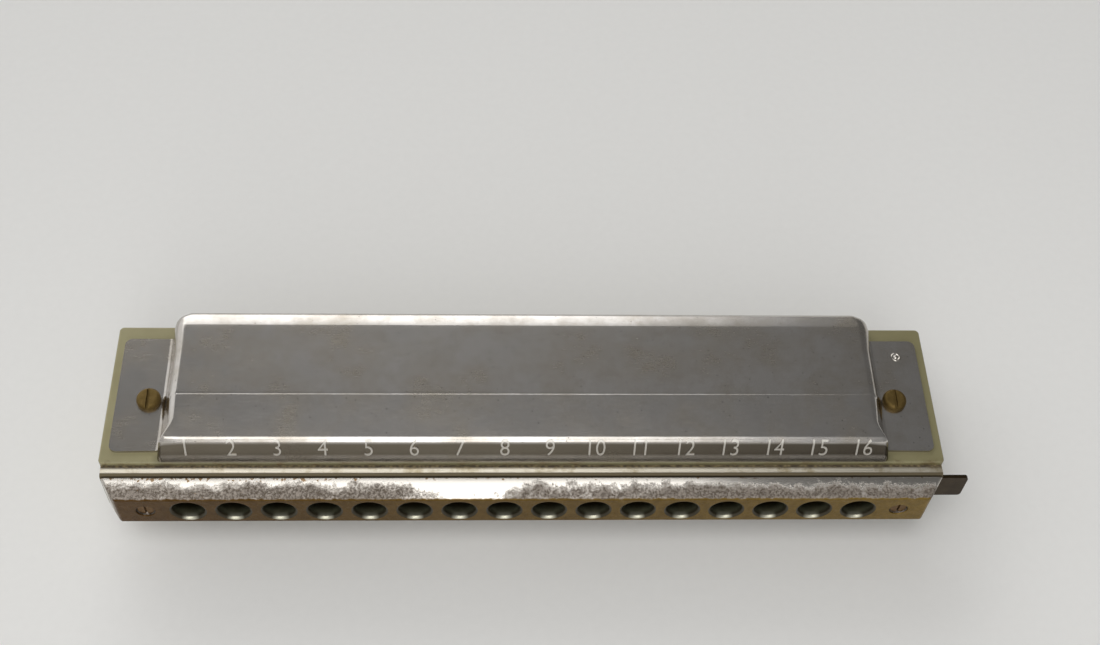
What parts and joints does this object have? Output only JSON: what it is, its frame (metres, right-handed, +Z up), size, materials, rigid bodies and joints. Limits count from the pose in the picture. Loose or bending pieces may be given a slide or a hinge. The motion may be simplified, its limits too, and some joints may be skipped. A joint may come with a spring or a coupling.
{
  "type": "chromatic harmonica",
  "caption": "Slide harmonica with a cream comb, two pressed metal covers open at the back, a bar mouthpiece with round holes and a sprung slide pushed in at one end.",
  "frame": {"origin": "middle of the flat of the lower cover, on which the harmonica lies", "axes": "+X along the instrument to the slide's push end, +Y from the mouthpiece to the open back, +Z up"},
  "size_m": [0.1853, 0.0422, 0.03],
  "materials": {
    "cream_comb": "satin",
    "plated_cover": "gloss",
    "plated_mouthpiece": "gloss",
    "plated_housing": "satin",
    "slide_metal": "satin",
    "aged_brass": "satin",
    "reed_brass": "satin",
    "steel": "satin",
    "cork": "matte",
    "rubber_sleeve": "matte",
    "valve_film": "matte"
  },
  "bodies": {
    "instrument": {"comb": "cream_comb", "cover_bolts": "aged_brass", "cover_nuts": "aged_brass", "lower_blow_reeds": "reed_brass", "lower_cover": "plated_cover", "lower_draw_reeds": "reed_brass", "lower_inner_valves": "valve_film", "lower_outer_valves": "valve_film", "lower_plate_nails": "reed_brass", "lower_reed_plate": "reed_brass", "lower_reed_rivets": "reed_brass", "mouthpiece": "plated_mouthpiece", "mouthpiece_screws": "steel", "slide_back_plate": "plated_housing", "slide_bumpers": "rubber_sleeve", "slide_channel": "plated_housing", "slide_seal": "cork", "slide_spring": "steel", "spring_post": "steel", "upper_blow_reeds": "reed_brass", "upper_cover": "plated_cover", "upper_draw_reeds": "reed_brass", "upper_inner_valves": "valve_film", "upper_outer_valves": "valve_film", "upper_plate_nails": "reed_brass", "upper_reed_plate": "reed_brass", "upper_reed_rivets": "reed_brass"},
    "slide": {"slide": "slide_metal"}
  },
  "joints": [
    {"name": "slide_push", "type": "slide", "parent": "instrument", "child": "slide", "axis": [-1, 0, 0], "range_m": [0, 0.00475], "stiffness_N_per_m": 400, "springref_m": -0.005, "deforming": ["slide_spring"]}
  ]
}
